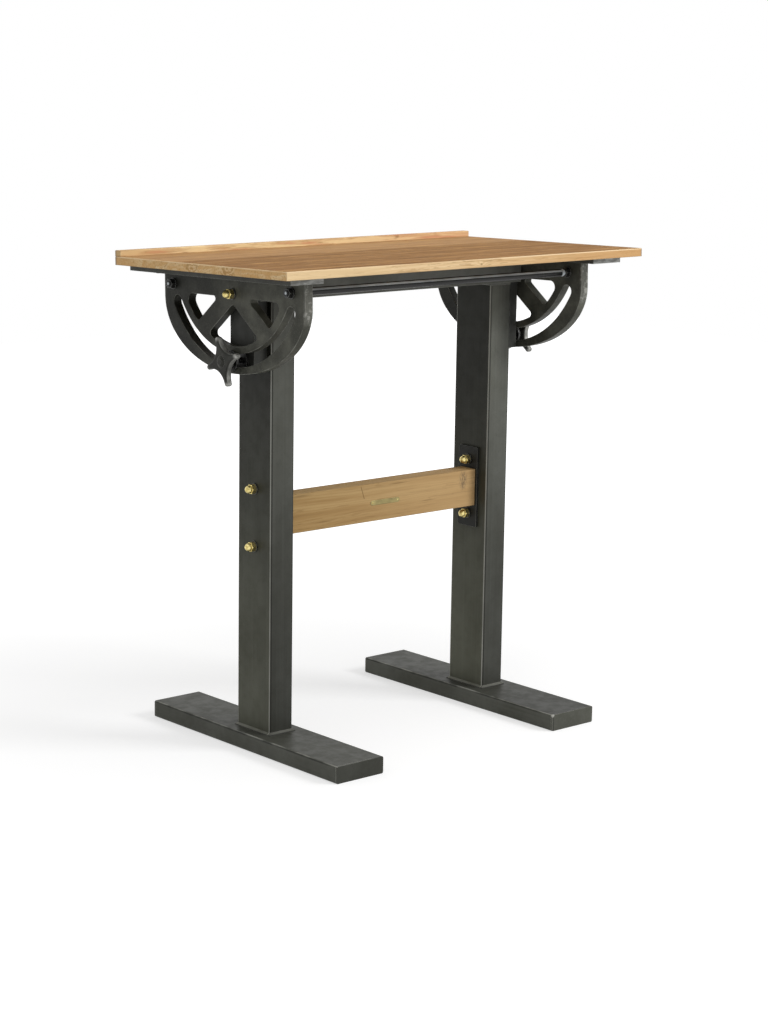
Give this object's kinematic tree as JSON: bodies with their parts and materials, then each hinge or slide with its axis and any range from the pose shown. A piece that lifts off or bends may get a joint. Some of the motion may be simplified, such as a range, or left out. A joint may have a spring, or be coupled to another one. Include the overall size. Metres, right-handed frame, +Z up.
{
  "type": "clerk's standing desk",
  "caption": "Standing writing desk: a wooden top with a paper ledge tilts on two cast quadrants with star clamp knobs over a steel column stand with a wooden stretcher.",
  "frame": {"origin": "on the floor under the tilt axis, midway between the two feet", "axes": "+Z up, +X along the desk's length to its right seen from the far side, +Y towards the writer, who stands on the side with the paper ledge"},
  "size_m": [1, 0.636, 1.0539],
  "materials": {
    "top_wood": "oiled satin",
    "beam_wood": "oiled satin",
    "frame_steel": "dark worn lacquer",
    "cast_iron": "satin black, worn edges",
    "bright_steel": "dark polished",
    "dark_hardware": "blackened",
    "brass": "satin"
  },
  "bodies": {
    "stand": {"cross_angle": "frame_steel", "left_beam_plate": "frame_steel", "left_beam_screws": "dark_hardware", "left_bracket": "frame_steel", "left_clamp_stud": "dark_hardware", "left_clamp_washers": "dark_hardware", "left_column": "frame_steel", "left_column_cap": "frame_steel", "left_foot": "frame_steel", "left_foot_caps": "frame_steel", "left_pivot_acorn_nut": "brass", "left_pivot_bolt": "dark_hardware", "left_pivot_washers": "dark_hardware", "left_stretcher_acorn_nuts": "brass", "left_stretcher_studs": "dark_hardware", "left_stretcher_washers": "dark_hardware", "right_beam_plate": "frame_steel", "right_beam_screws": "dark_hardware", "right_bracket": "frame_steel", "right_clamp_stud": "dark_hardware", "right_clamp_washers": "dark_hardware", "right_column": "frame_steel", "right_column_cap": "frame_steel", "right_foot": "frame_steel", "right_foot_caps": "frame_steel", "right_pivot_acorn_nut": "brass", "right_pivot_bolt": "dark_hardware", "right_pivot_washers": "dark_hardware", "right_stretcher_acorn_nuts": "brass", "right_stretcher_studs": "dark_hardware", "right_stretcher_washers": "dark_hardware", "stretcher_beam": "beam_wood"},
    "top": {"far_tie_rod": "bright_steel", "ledge_tie_rod": "bright_steel", "left_bar_screws": "dark_hardware", "left_quadrant": "cast_iron", "left_quadrant_screws": "dark_hardware", "left_rod_nuts": "dark_hardware", "left_rod_washers": "dark_hardware", "left_top_bar": "frame_steel", "paper_ledge": "top_wood", "right_bar_screws": "dark_hardware", "right_quadrant": "cast_iron", "right_quadrant_screws": "dark_hardware", "right_rod_nuts": "dark_hardware", "right_rod_washers": "dark_hardware", "right_top_bar": "frame_steel", "top_board_1": "top_wood", "top_board_2": "top_wood", "top_board_3": "top_wood", "top_board_4": "top_wood"},
    "left_knob": {"left_star_knob": "cast_iron"},
    "right_knob": {"right_star_knob": "cast_iron"}
  },
  "joints": [
    {"name": "top_tilt", "type": "hinge", "parent": "stand", "child": "top", "pos_m": [0, 0, 0.979], "axis": [-1, 0, 0], "range_deg": [-21.5, 31]},
    {"name": "left_knob_turn", "type": "hinge", "parent": "stand", "child": "left_knob", "pos_m": [-0.4056, 0, 0.84], "axis": [-1, 0, 0], "range_deg": [0, 360]},
    {"name": "right_knob_turn", "type": "hinge", "parent": "stand", "child": "right_knob", "pos_m": [0.4056, 0, 0.84], "axis": [1, 0, 0], "range_deg": [0, 360]}
  ]
}
